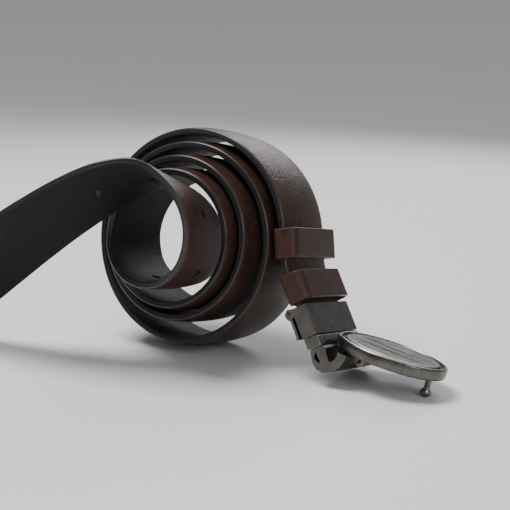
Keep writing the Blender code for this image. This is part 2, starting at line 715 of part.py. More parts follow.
def stacked_ellipses(name, levels, finish, parent, count=48):
    """A solid from elliptical rings (half x, half y, z), bottom to top, centred on the plate."""
    points = []
    for half_x, half_y, z in levels:
        points += [(PLATE_CENTRE + x, y, z) for x, y in ellipse(half_x, half_y, count)]
    faces = [tuple(reversed(range(count)))]
    for k in range(len(levels) - 1):
        for i in range(count):
            j = (i + 1) % count
            faces.append((k * count + i, k * count + j, (k + 1) * count + j, (k + 1) * count + i))
    last = (len(levels) - 1) * count
    faces.append(tuple(last + i for i in range(count)))
    return shade_round(add_object(name, mesh_of(name, points, faces), finish, parent), 30.0)


def build_plate(frame, finishes):
    """The oval plate with its raised rim and field, its hinge ears, pin and stud."""
    steel = finishes["buckle_metal"]
    tilt = Matrix.Rotation(math.radians(PLATE_SLOPE + HEADING_AT_CLAMP), 4, "Y")
    hinge = add_frame(
        "plate_axis", Matrix.Translation((NECK_HINGE[0], 0.0, NECK_HINGE[1])) @ tilt, frame
    )
    a, b = PLATE_HALF_LENGTH, PLATE_HALF_WIDTH
    low, top = PLATE_UNDERSIDE, PLATE_UNDERSIDE + PLATE_THICKNESS
    inner_a, inner_b = a - RIM_WIDTH - 0.5 * MM, b - RIM_WIDTH - 0.5 * MM
    plate = stacked_ellipses(
        "plate_body",
        [
            (a - 1.2 * MM, b - 1.2 * MM, low),
            (a - 0.2 * MM, b - 0.2 * MM, low + 1.0 * MM),
            (a, b, low + 0.55 * PLATE_THICKNESS),
            (a - 0.5 * MM, b - 0.5 * MM, top - 0.2 * MM),
            (a - 0.9 * MM, b - 0.9 * MM, top),
            (a - RIM_WIDTH, b - RIM_WIDTH, top - 0.1 * MM),
            (inner_a, inner_b, top - RECESS_DEPTH),
        ],
        steel,
        hinge,
    )
    ear_low = NECK_KNUCKLE_HALF_WIDTH + FIT_GAP
    for name, side in (("left", -1), ("right", 1)):
        ends = sorted((side * ear_low, side * (ear_low + EAR_THICKNESS)))
        ear_outline = [
            (3.4 * MM, low + 0.6 * MM),
            (-3.0 * MM, low + 0.6 * MM),
            *arc((0.0, 0.0), NECK_KNUCKLE_RADIUS, 170.0, 350.0, 12),
        ]
        ear = prism(f"plate_ear_{name}", ear_outline, ends[0], ends[1], None, hinge)
        combine(plate, ear, "UNION")
    pin_bore = cylinder(
        "plate_pin_bore", PLATE_PIN_RADIUS + RUNNING_GAP, -20 * MM, 20 * MM, None, hinge,
        axis="Y", sides=SMALL_SIDES,
    )
    combine(plate, pin_bore, "DIFFERENCE")
    reach = ear_low + EAR_THICKNESS + 0.3 * MM
    cylinder(
        "plate_pin", PLATE_PIN_RADIUS, -reach, reach, finishes["pin_steel"], hinge,
        axis="Y", sides=SMALL_SIDES,
    )

    floor = top - RECESS_DEPTH + FIT_GAP
    field_top = floor + FIELD_HEIGHT
    fa, fb = FIELD_HALF_LENGTH, FIELD_HALF_WIDTH
    field = stacked_ellipses(
        "plate_field",
        [(fa, fb, floor), (fa, fb, field_top - 0.2 * MM), (fa - 0.3 * MM, fb - 0.3 * MM, field_top)],
        steel,
        hinge,
    )
    for name, side in (("left", -1), ("right", 1)):
        reach = 0.8 * fa
        y = side * GROOVE_OFFSET
        outline = [
            (PLATE_CENTRE - reach, field_top + 1 * MM),
            (PLATE_CENTRE - reach, field_top - GROOVE_DEPTH),
            (PLATE_CENTRE + reach, field_top - GROOVE_DEPTH),
            (PLATE_CENTRE + reach, field_top + 1 * MM),
        ]
        groove = prism(
            f"groove_{name}", outline, y - GROOVE_WIDTH / 2, y + GROOVE_WIDTH / 2, None, hinge
        )
        combine(field, groove, "DIFFERENCE")

    hole = cylinder(
        "stud_hole", STUD_STEM_RADIUS * 0.7 + RUNNING_GAP, low - 1 * MM, low + 2.2 * MM, None, hinge,
        at=(STUD_POSITION, 0.0, 0.0), sides=SMALL_SIDES,
    )
    combine(plate, hole, "DIFFERENCE")
    base = low - FIT_GAP
    end = low - STUD_HEIGHT
    stud = [
        (0.0, low + 1.8 * MM),
        (STUD_STEM_RADIUS * 0.7, low + 1.8 * MM),
        (STUD_STEM_RADIUS * 0.7, base),
        (STUD_STEM_RADIUS, base),
        (STUD_STEM_RADIUS, end + 3.2 * MM),
        (STUD_HEAD_RADIUS, end + 2.2 * MM),
        (STUD_HEAD_RADIUS, end + 1.0 * MM),
        (0.6 * STUD_HEAD_RADIUS, end),
        (0.0, end),
    ]
    turned("stud", stud, finishes["pin_steel"], hinge, at=(STUD_POSITION, 0.0, 0.0), sides=SMALL_SIDES)


def make_finishes():
    return {
        "face_leather": material("face_leather", (0.060, 0.030, 0.020), 0.42, 0.0),
        "lining_leather": material("lining_leather", (0.012, 0.012, 0.014), 0.6, 0.0),
        "filler": material("filler", (0.20, 0.15, 0.10), 0.8, 0.0),
        "keeper_leather": material("keeper_leather", (0.065, 0.032, 0.022), 0.40, 0.0),
        "buckle_metal": material("buckle_metal", (0.33, 0.31, 0.29), 0.35, 1.0),
        "pin_steel": material("pin_steel", (0.45, 0.45, 0.46), 0.3, 1.0),
    }


def main():
    clear_scene()
    finishes = make_finishes()
    build_strap(finishes)
    stand = add_frame("belt_stand", lean_matrix())
    marks = end_run()[1]
    build_keeper("keeper_sliding", run_frame("sliding_axis", marks["sliding"], stand), finishes["keeper_leather"])
    build_keeper("keeper_fixed", run_frame("fixed_axis", marks["fixed"], stand), finishes["keeper_leather"])
    clamp = run_frame("clamp_axis", marks["clamp"], stand)
    build_clamp(clamp, finishes)
    build_lever(clamp, finishes)
    build_swivel(clamp, finishes)
    build_neck(clamp, finishes)
    build_plate(clamp, finishes)


main()
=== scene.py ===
"""Looks of the leather dress belt: a coiled strap, leather keepers, brushed buckle metal and the studio.

Every length is in metres unless a name says otherwise. New pieces are grids of points, worked out with numpy.
The buckle's solids are shown as they are, with softened edges.
"""

import logging
import math
from dataclasses import dataclass, field
from enum import Enum

import bmesh
import bpy
import numpy as np
from mathutils import Matrix, Vector


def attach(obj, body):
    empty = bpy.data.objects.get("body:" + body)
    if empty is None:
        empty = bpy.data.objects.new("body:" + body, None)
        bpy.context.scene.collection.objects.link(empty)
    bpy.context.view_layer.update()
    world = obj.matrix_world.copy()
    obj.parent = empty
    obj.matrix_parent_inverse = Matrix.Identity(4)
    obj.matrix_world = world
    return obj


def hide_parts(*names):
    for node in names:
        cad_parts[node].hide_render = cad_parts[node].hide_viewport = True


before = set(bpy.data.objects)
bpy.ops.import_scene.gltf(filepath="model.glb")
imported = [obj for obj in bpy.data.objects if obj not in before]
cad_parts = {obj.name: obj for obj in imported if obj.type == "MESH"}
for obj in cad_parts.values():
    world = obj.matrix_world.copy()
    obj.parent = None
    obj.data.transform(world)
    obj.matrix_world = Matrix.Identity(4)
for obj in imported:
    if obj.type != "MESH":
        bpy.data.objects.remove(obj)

MM = 0.001
LEATHER_CREASE = math.radians(50)
METAL_CREASE = math.radians(45)
Colour = tuple[float, float, float]
Place = tuple[float, float, float]
Array = np.ndarray
Material = bpy.types.Material
log = logging.getLogger("belt")


# ---- shader maths


class Socket:
    """A shader output whose arithmetic adds Math nodes to its graph."""

    def __init__(self, graph: "Graph", link: bpy.types.NodeSocket) -> None:
        """Keeps the graph and the output that this socket stands for."""
        self.graph = graph
        self.link = link

    def _math(self, operation: str, *values: "Socket | float") -> "Socket":
        """One Math node.

        Args:
            operation: the node's operation, such as MULTIPLY.
            values: its inputs in order.

        Returns:
            The node's value.
        """
        inputs = dict(enumerate(values))
        return self.graph.add("ShaderNodeMath", {"operation": operation}, inputs)

    def __add__(self, other: "Socket | float") -> "Socket":
        """The sum."""
        return self._math("ADD", self, other)

    def __radd__(self, other: float) -> "Socket":
        """The sum, with a number on the left."""
        return self._math("ADD", other, self)

    def __sub__(self, other: "Socket | float") -> "Socket":
        """The difference."""
        return self._math("SUBTRACT", self, other)

    def __rsub__(self, other: float) -> "Socket":
        """A number less this."""
        return self._math("SUBTRACT", other, self)

    def __mul__(self, other: "Socket | float") -> "Socket":
        """The product."""
        return self._math("MULTIPLY", self, other)

    def __abs__(self) -> "Socket":
        """The size without its sign."""
        return self._math("ABSOLUTE", self)

    def step(self, low: float, high: float) -> "Socket":
        """A smooth rise from 0 at low to 1 at high.

        Args:
            low: where the rise starts.
            high: where it ends.

        Returns:
            The risen value.
        """
        return self.graph.add(
            "ShaderNodeMapRange",
            {"interpolation_type": "SMOOTHSTEP"},
            {"Value": self, "From Min": low, "From Max": high, "To Min": 0.0, "To Max": 1.0},
        )


class Graph:
    """The node graph of one material."""

    def __init__(self, name: str) -> None:
        """Makes a material with one Principled shader."""
        self.material = bpy.data.materials.new(name)
        self.material.use_nodes = True
        self.tree = self.material.node_tree
        self.shader = self.tree.nodes["Principled BSDF"]

    def put(self, target: bpy.types.NodeSocket, value: object) -> None:
        """Links a Socket to an input, or sets the input's own value.

        Args:
            target: the input.
            value: a Socket, a number, or a colour or vector.
        """
        if isinstance(value, Socket):
            self.tree.links.new(value.link, target)
        elif isinstance(value, tuple) and target.type == "RGBA":
            target.default_value = (*value, 1.0)
        else:
            target.default_value = value

    def add(self, kind: str, settings: dict | None = None, inputs: dict | None = None,
            output: int | str = 0) -> Socket:
        """Adds any node.

        Args:
            kind: the node's type.
            settings: its properties, set first.
            inputs: a value or a Socket for each input, by name or place.
            output: which output is returned.

        Returns:
            The output as a Socket.
        """
        node = self.tree.nodes.new(kind)
        for key, value in (settings or {}).items():
            setattr(node, key, value)
        for key, value in (inputs or {}).items():
            self.put(node.inputs[key], value)
        return Socket(self, node.outputs[output])

    def blend(self, amount: Socket | float, first: object, second: object) -> Socket:
        """Mixes two colours.

        Args:
            amount: 0 for the first, 1 for the second.
            first: a colour or a Socket.
            second: a colour or a Socket.

        Returns:
            The mixed colour.
        """
        node = self.tree.nodes.new("ShaderNodeMix")
        node.data_type = "RGBA"
        self.put(node.inputs[0], amount)
        self.put(node.inputs[6], first)
        self.put(node.inputs[7], second)
        return Socket(self, node.outputs[2])

    def noise(self, where: Socket, scale: float, detail: float = 3.0, rough: float = 0.55) -> Socket:
        """Soft noise at a place.

        Args:
            where: the coordinates.
            scale: cells for each unit of them.
            detail: how many finer layers it has.
            rough: how strong the finer layers are.

        Returns:
            The value, about 0.5 in the middle.
        """
        inputs = {"Vector": where, "Scale": scale, "Detail": detail, "Roughness": rough}
        return self.add("ShaderNodeTexNoise", {}, inputs)

    def bump(self, height: Socket, strength: float, distance: float) -> Socket:
        """A bumped normal.

        Args:
            height: the height, 0 to 1.
            strength: how much of it shows.
            distance: the real height of 1.

        Returns:
            The normal.
        """
        inputs = {"Height": height, "Strength": strength, "Distance": distance}
        return self.add("ShaderNodeBump", {}, inputs)

    def finish(self, **inputs: object) -> Material:
        """Sets the Principled shader's inputs and gives the material.

        Args:
            inputs: values by input name, with _ for a space.

        Returns:
            The finished material.
        """
        for key, value in inputs.items():
            self.put(self.shader.inputs[key.replace("_", " ")], value)
        return self.material


# ---- finishes


class Grain(Enum):
    """How a leather's surface is finished: cell size in mm, depth in mm, and how much it creases."""

    GLAZED = (0.95, 0.240, 0.8)
    SUEDED = (0.60, 0.140, 2.2)
    FOLDED = (0.80, 0.150, 2.0)


@dataclass(frozen=True)
class DressLeather:
    """Leather on a piece whose UV map holds metres: u along it and v across it, with painted edges."""

    name: str
    colour: Colour
    deep: Colour
    edge: Colour
    half_width: float
    grain: Grain
    roughness: float = 0.44
    coat: float = 0.05
    specular: float = 0.28
    edge_polish: float = 0.14
    sheen: Colour = (1.0, 0.80, 0.68)
    crease_scale: tuple[float, float, float] = (0.9, 0.10, 1.0)
    edge_band: tuple[float, float] = (0.965, 0.985)
    shoulder_band: tuple[float, float] = (0.86, 0.96)
    rub_gain: float = 1.75
    rub_lift: float = 0.006

    def make(self) -> Material:
        """Pores and creases, rubbed shoulders, and a glossier painted edge beyond the half width.

        Returns:
            The material.
        """
        graph = Graph(self.name)
        cell, depth, creased = self.grain.value
        uv = graph.add("ShaderNodeUVMap", {"uv_map": "strap_metres"})
        mm = graph.add("ShaderNodeVectorMath", {"operation": "SCALE"}, {0: uv, "Scale": 1000.0})
        parts = graph.add("ShaderNodeSeparateXYZ", {}, {0: uv}, "Y")
        across = abs(parts) * (1.0 / self.half_width)
        edge = across.step(*self.edge_band)
        shoulder = across.step(*self.shoulder_band) * (1 - edge)

        cells = graph.add(
            "ShaderNodeTexVoronoi", {"feature": "SMOOTH_F1"},
            {"Vector": mm, "Scale": 1.0 / cell, "Smoothness": 0.35}, "Distance",
        )
        pores = graph.noise(mm, 2.6, 4.0, 0.6)
        stretched = graph.add(
            "ShaderNodeVectorMath", {"operation": "MULTIPLY"}, {0: mm, 1: self.crease_scale}
        )
        creases = graph.noise(stretched, 0.8, 3.0, 0.6)
        mottle = graph.noise(mm, 0.11, 3.0, 0.6)
        patch = graph.noise(mm, 0.035, 2.0, 0.5)

        tone = mottle.step(0.32, 0.68) * 0.6 + patch.step(0.35, 0.65) * 0.4
        body = graph.blend(tone, self.deep, self.colour)
        dusted = graph.blend(cells.step(0.42, 0.75) * 0.35, body, self.deep)
        lighter = tuple(min(1.0, value * self.rub_gain + self.rub_lift) for value in self.colour)
        rubbed = graph.blend(shoulder * pores.step(0.40, 0.62) * 0.55, dusted, lighter)
        shown = graph.blend(edge, rubbed, self.edge)

        height = cells * 0.6 + pores * 0.7 + creases * creased
        normal = graph.bump(height * (1 - edge * 0.9), 0.8, depth * MM)
        gloss = self.roughness + (mottle - 0.5) * 0.22 + (pores - 0.5) * 0.20 - edge * self.edge_polish
        return graph.finish(
            Base_Color=shown, Roughness=gloss, Normal=normal,
            Coat_Weight=edge * 0.35 + self.coat, Coat_Roughness=0.28, Specular_IOR_Level=self.specular,
            Specular_Tint=self.sheen,
        )


@dataclass(frozen=True)
class BrushedPlate:
    """Dark plated metal, brushed in lines that run square to the buckle's width."""

    name: str
    colour: Colour
    dark: Colour
    width_axis: Vector
    roughness: float = 0.30
    depth: float = 0.008 * MM
    line_rate: float = 3600.0
    shaded: bool = False
    band_rate: float = 620.0
    oxide: Colour = (0.012, 0.011, 0.011)
    # colour of the painted highlight on the bead and the field's border, standing partly for polish
    bright: Colour = (0.62, 0.59, 0.55)

    def make(self) -> Material:
        """Noise squeezed along the width makes the brush lines.

        Returns:
            The material.
        """
        graph = Graph(self.name)
        place = graph.add("ShaderNodeTexCoord", {}, {}, "Object")
        across = graph.add(
            "ShaderNodeVectorMath", {"operation": "DOT_PRODUCT"},
            {0: place, 1: tuple(self.width_axis)}, "Value",
        )
        x = graph.add("ShaderNodeSeparateXYZ", {}, {0: place}, "X")
        z = graph.add("ShaderNodeSeparateXYZ", {}, {0: place}, "Z")
        lined = graph.add(
            "ShaderNodeCombineXYZ", {}, {"X": x * 90.0, "Y": across * self.line_rate, "Z": z * 90.0}
        )
        lines = graph.noise(lined, 1.0, 3.0, 0.65)
        wide = graph.add(
            "ShaderNodeCombineXYZ", {}, {"X": x * 45.0, "Y": across * self.band_rate, "Z": z * 45.0}
        )
        bands = graph.noise(wide, 1.0, 2.0, 0.5)
        tarnish = graph.noise(place, 160.0, 3.0, 0.6)
        tone = lines.step(0.25, 0.75) * 0.5 + bands.step(0.3, 0.7) * 0.15 + tarnish.step(0.35, 0.65) * 0.35
        shown = graph.blend(tone, self.dark, self.colour)
        gloss = self.roughness + (lines - 0.5) * 0.22 + (tarnish - 0.5) * 0.12
        metallic = 1.0
        if self.shaded:
            uv = graph.add("ShaderNodeUVMap", {"uv_map": "shade"})
            shade = graph.add("ShaderNodeSeparateXYZ", {}, {0: uv}, "X")
            polish_and_highlight = graph.add("ShaderNodeSeparateXYZ", {}, {0: uv}, "Y")
            shown = graph.blend(shade * 0.93, shown, self.oxide)
            # painted highlight on the bead and the field's border, standing partly for polish
            shown = graph.blend(polish_and_highlight * 0.75, shown, self.bright)
            gloss = gloss + shade * 0.40 - polish_and_highlight * 0.12
            metallic = 1 - shade * 0.95
        normal = graph.bump(lines * 0.6 + bands * 0.3, 0.35, self.depth)
        return graph.finish(Base_Color=shown, Roughness=gloss, Metallic=metallic, Normal=normal)


@dataclass(frozen=True)
class TurnedSteel:
    """Small bright pins, spring and stud, with faint tool marks."""

    name: str
    colour: Colour
    roughness: float = 0.24

    def make(self) -> Material:
        """Fine noise varies the colour and the gloss.

        Returns:
            The material.
        """
        graph = Graph(self.name)
        place = graph.add("ShaderNodeTexCoord", {}, {}, "Object")
        marks = graph.noise(place, 900.0, 3.0, 0.6)
        dull = tuple(value * 0.62 for value in self.colour)
        shown = graph.blend(marks.step(0.3, 0.7), dull, self.colour)
        normal = graph.bump(marks, 0.3, 0.01 * MM)
        return graph.finish(
            Base_Color=shown, Roughness=self.roughness + (marks - 0.5) * 0.2, Metallic=1.0, Normal=normal
        )


@dataclass(frozen=True)
class PlainPaper:
    """The pale studio floor."""

    name: str
    colour: Colour

    def make(self) -> Material:
        """A flat matt colour."""
        return Graph(self.name).finish(Base_Color=self.colour, Roughness=0.85)


# ---- grids and routes


def smooth_curve(knots: Array, at: Array) -> Array:
    """A cubic through each pair of rows, whose slope at a row is the mean slope of its neighbours.

    Args:
        knots: rows of (parameter, value, value, ...).
        at: parameters to read.

    Returns:
        One row of values for each parameter.
    """
    x, y = knots[:, 0], knots[:, 1:]
    slope = np.gradient(y, x, axis=0)
    i = np.clip(np.searchsorted(x, at, side="right") - 1, 0, len(x) - 2)
    span = (x[i + 1] - x[i])[:, None]
    u = ((at - x[i]) / span[:, 0])[:, None]
    start = (1 + 2 * u) * (1 - u) ** 2 * y[i] + u * (1 - u) ** 2 * span * slope[i]
    end = u * u * (3 - 2 * u) * y[i + 1] + u * u * (u - 1) * span * slope[i + 1]
    return start + end


def unit(rows: Array) -> Array:
    """Each row divided by its length."""
    return rows / np.linalg.norm(rows, axis=-1, keepdims=True)


def ring_quads(stations: int, around: int, closed: bool = False) -> Array:
    """Faces between neighbouring rings of points.

    Args:
        stations: how many rings there are.
        around: how many points each ring has.
        closed: whether the last ring joins the first.

    Returns:
        Four point numbers for each face.
    """
    i = np.arange(stations if closed else stations - 1)[:, None]
    j = np.arange(around)[None, :]
    ahead, beside = (i + 1) % stations, (j + 1) % around
    square = (i * around + j, i * around + beside, ahead * around + beside, ahead * around + j)
    return np.stack(square, axis=-1).reshape(-1, 4)


def end_caps(stations: int, around: int) -> list[list[int]]:
    """A face over the first ring and one over the last."""
    last = (stations - 1) * around
    return [list(range(around)), list(range(last, last + around))]


def set_uv(mesh: bpy.types.Mesh, name: str, uv: Array) -> None:
    """Adds a UV map that holds one pair of values for each point."""
    layer = mesh.uv_layers.new(name=name)
    corner = np.empty(len(mesh.loops), np.int32)
    mesh.loops.foreach_get("vertex_index", corner)
    layer.data.foreach_set("uv", uv[corner].astype(np.float32).ravel())


def linked(name: str, content: bpy.types.ID) -> bpy.types.Object:
    """Puts a mesh, a light or a camera in the scene as an object."""
    made = bpy.data.objects.new(name, content)
    bpy.context.scene.collection.objects.link(made)
    return made


def tube_object(name: str, rings: Array, uv: Array, finish: Material,
                closed: bool = False) -> bpy.types.Object:
    """Joins rings of points into one closed skin: along the rings, around each ring, and over the two ends.

    Args:
        name: the piece's name.
        rings: points as (stations, around, 3), anticlockwise seen against the route.
        uv: the UV pair of each point in metres, (stations, around, 2).
        finish: its material.
        closed: whether the last ring joins the first, as in a loop.

    Returns:
        The object, at the origin.
    """
    stations, around = rings.shape[:2]
    points = rings.reshape(-1, 3)
    quads = ring_quads(stations, around, closed)
    faces = quads.tolist()
    if not closed:
        first, last = end_caps(stations, around)
        faces += [first[::-1], last]
    mesh = bpy.data.meshes.new(name)
    mesh.from_pydata(points, [], faces)
    set_uv(mesh, "strap_metres", uv.reshape(-1, 2))
    mesh.materials.append(finish)
    square = points[quads]
    volume = np.einsum("ij,ij->i", square[:, 0], np.cross(square[:, 1], square[:, 2])).sum()
    volume += np.einsum("ij,ij->i", square[:, 0], np.cross(square[:, 2], square[:, 3])).sum()
    if volume < 0:
        mesh.flip_normals()
    mesh.shade_smooth()
    mesh.set_sharp_from_angle(angle=LEATHER_CREASE)
    mesh.update()
    log.info("%s: %d faces", name, len(faces))
    return linked(name, mesh)


@dataclass
class StrapRoute:
    """The strap's middle line from the tip, over the coil, to the clamp, and its directions.

    coil_knots: angle from the top, outer radius and shift along Y in mm, twist.
    tail_points: x, y and z in mm, twist. Angles and twists are in degrees.
    """

    width: float = 35.0 * MM
    thickness: float = 3.8 * MM
    coil_centre: tuple[float, float] = (4.5 * MM, 47.2 * MM)
    lean: float = math.radians(9.0)
    roll: float = math.radians(2.7)
    shift: tuple[float, float, float] = (3.2 * MM, 21.2 * MM, -0.2 * MM)
    coil_start: float = 15.0
    coil_end: float = 1522.0
    coil_knots: tuple[tuple[float, ...], ...] = (
        (15.0, 26.8, 51.5, 16.0),
        (60.0, 27.0, 44.0, 13.0),
        (105.0, 25.6, 38.5, 8.0),
        (150.0, 23.6, 34.5, 3.0),
        (200.0, 22.4, 31.0, 0.5),
        (270.0, 24.0, 25.0, 0.0),
        (360.0, 28.6, 18.0, 0.0),
        (540.0, 32.4, 13.0, 0.0),
        (720.0, 34.9, 10.5, 0.0),
        (900.0, 37.8, 8.0, 0.0),
        (1080.0, 41.2, 4.0, 0.0),
        (1170.0, 43.2, 1.5, 0.0),
        (1260.0, 48.0, 0.0, 0.0),
        (1350.0, 47.8, 0.0, 0.0),
        (1440.0, 47.4, 0.0, 0.0),
        (1522.0, 49.6, 0.0, 0.0),
    )
    tail_points: tuple[tuple[float, ...], ...] = (
        (-126.0, -56.0, 17.6, 90.0),
        (-110.0, -58.0, 17.9, 86.0),
        (-96.0, -59.5, 20.5, 70.0),
        (-81.0, -60.5, 28.2, 53.0),
        (-65.0, -60.5, 38.8, 40.0),
        (-49.0, -59.0, 50.2, 31.0),
        (-33.0, -56.0, 61.8, 25.0),
        (-18.0, -51.5, 72.0, 20.5),
        (-4.5, -45.7, 79.3, 17.5),
    )
    heading_at_coil: float = math.radians(9.0)
    heading_at_clamp: float = math.radians(29.0)
    keeper_run: float = 12.5 * MM
    bend_run: float = 6.0 * MM
    end_run: float = 43.5 * MM
    turn_step: float = 1.5
    guide_turn: float = 15.0
    tip_run_mm: float = 12.0
    tip_stations: int = 24
    level_twist: float = 60.0
    spacing: float = 1.0 * MM
    points: Array = field(init=False)
    across: Array = field(init=False)
    outward: Array = field(init=False)
    along: Array = field(init=False)
    run: Array = field(init=False)
    coil_run: float = field(init=False)

    def __post_init__(self) -> None:
        """Works the whole route out."""
        pivot = Matrix.Translation((0.0, self.width / 2, 0.0))
        leaned = pivot @ Matrix.Rotation(-self.lean, 4, "X") @ pivot.inverted()
        stand = Matrix.Translation(self.shift) @ Matrix.Rotation(-self.roll, 4, "Y") @ leaned
        self._stand = np.array(stand)
        coil, coil_twist = self._coil()
        end = self._end(coil[-1])
        tail, tail_twist = self._tail()
        body = self._placed(np.vstack([coil, end]))
        points = np.vstack([tail, body])
        twist = np.concatenate([tail_twist, coil_twist, np.zeros(len(end))])
        joint = len(tail)
        points, twist = self._eased(points, twist, joint)
        self._directions(points, twist)
        self.coil_run = float(self.run[len(tail) + len(coil) - 1])

    def _placed(self, rows: Array) -> Array:
        """Upright points leaned back, rolled and shifted to where the belt stands."""
        return rows @ self._stand[:3, :3].T + self._stand[:3, 3]

    def _coil_at(self, turns: Array) -> tuple[Array, Array]:
        """Points at angles from the top: a circle whose radius, shift and twist follow the knots.

        Args:
            turns: angles in degrees.

        Returns:
            Upright points and twists in radians.
        """
        radius, shift, twist = smooth_curve(np.array(self.coil_knots), turns).T
        radius = radius * MM - self.thickness / 2
        angle = np.radians(turns)
        x = self.coil_centre[0] + radius * np.sin(angle)
        z = self.coil_centre[1] + radius * np.cos(angle)
        return np.stack([x, -shift * MM, z], axis=1), np.radians(twist)

    def _coil(self) -> tuple[Array, Array]:
        """The whole coil at a fine angle step."""
        count = round((self.coil_end - self.coil_start) / self.turn_step)
        return self._coil_at(np.linspace(self.coil_start, self.coil_end, count + 1))

    def _end(self, start: Array) -> Array:
        """The strap below the coil: straight, a bend of constant radius, then straight into the clamp.

        Args:
            start: the coil's last point.

        Returns:
            Upright points, spaced evenly.
        """
        run = np.linspace(0.0, self.end_run, round(self.end_run / self.spacing) + 1)
        bend = np.clip((run - self.keeper_run) / self.bend_run, 0.0, 1.0)
        heading = self.heading_at_coil + bend * (self.heading_at_clamp - self.heading_at_coil)
        middle = (heading[1:] + heading[:-1]) / 2
        steps = np.stack([np.sin(middle), np.zeros_like(middle), -np.cos(middle)], axis=1)
        return start + np.cumsum(steps * np.diff(run)[:, None], axis=0)

    def _tail(self) -> tuple[Array, Array]:
        """The free tail, read from a smooth curve through its points and the first of the coil.

        Returns:
            Placed points and twists in radians, from the tip.
        """
        coil, twist = self._coil_at(np.array([self.coil_start, self.coil_start + self.guide_turn]))
        guide = np.array(self.tail_points)
        guide[:, :3] += np.array(self.shift) / MM
        rows = np.vstack([guide, np.column_stack([self._placed(coil) / MM, np.degrees(twist)])])
        chord = np.concatenate([[0.0], np.cumsum(np.linalg.norm(np.diff(rows[:, :3], axis=0), axis=1))])
        length = chord[-2]
        near = np.linspace(0.0, 1.0, self.tip_stations) ** 2 * self.tip_run_mm
        rest = np.linspace(self.tip_run_mm, length, round(length - self.tip_run_mm) + 1)[1:-1]
        read = smooth_curve(np.column_stack([chord, rows]), np.concatenate([near, rest]))
        return read[:, :3] * MM, np.radians(read[:, 3])

    @staticmethod
    def _eased(points: Array, twist: Array, joint: int) -> tuple[Array, Array]:
        """Averages the stations where the tail meets the coil, so that there is no fold.

        Args:
            points: the stations.
            twist: their twists.
            joint: the first station of the coil.

        Returns:
            The eased points and twists.
        """
        rows = np.column_stack([points, twist])
        half, reach, narrowing, fade = 60, 14, 2.2, 50.0
        low, high = joint - half, joint + half
        window = np.exp(-((np.arange(-reach, reach + 1) / (reach / narrowing)) ** 2))
        window /= window.sum()
        part = rows[low - reach:high + reach]
        mean = np.stack([np.convolve(part[:, k], window, "valid") for k in range(4)], axis=1)
        near = np.clip(half / fade - np.abs(np.arange(low, high) - joint) / fade, 0.0, 1.0)
        weight = (near**2 * (3 - 2 * near))[:, None]
        rows[low:high] = rows[low:high] * (1 - weight) + mean * weight
        return rows[:, :3], rows[:, 3]

    def _directions(self, points: Array, twist: Array) -> None:
        """Across is the coil's axis, turned by the twist; outward is square to it and to the route.

        Args:
            points: the stations.
            twist: their twists.
        """
        run = np.concatenate([[0.0], np.cumsum(np.linalg.norm(np.diff(points, axis=0), axis=1))])
        tangent = unit(np.gradient(points, run, axis=0))
        turn = twist[:, None]
        blend = np.clip(np.degrees(turn) / self.level_twist, 0.0, 1.0)
        level = self._stand[:3, 1] * (1 - blend) + np.array([0.0, 1.0, 0.0]) * blend
        level = unit(level - (level * tangent).sum(axis=1)[:, None] * tangent)
        down = unit(np.cross(level, tangent))
        self.across = level * np.cos(turn) + down * np.sin(turn)
        self.outward = np.cross(tangent, self.across)
        self.points, self.along, self.run = points, tangent, run

    def at(self, distance: float) -> tuple[Array, Array, Array, Array]:
        """Where the strap is at a distance from the tip.

        Args:
            distance: along the strap.

        Returns:
            The point, across, outward and along.
        """
        sets = (self.points, self.across, self.outward, self.along)
        return tuple(
            np.array([np.interp(distance, self.run, rows[:, k]) for k in range(3)]) for rows in sets
        )


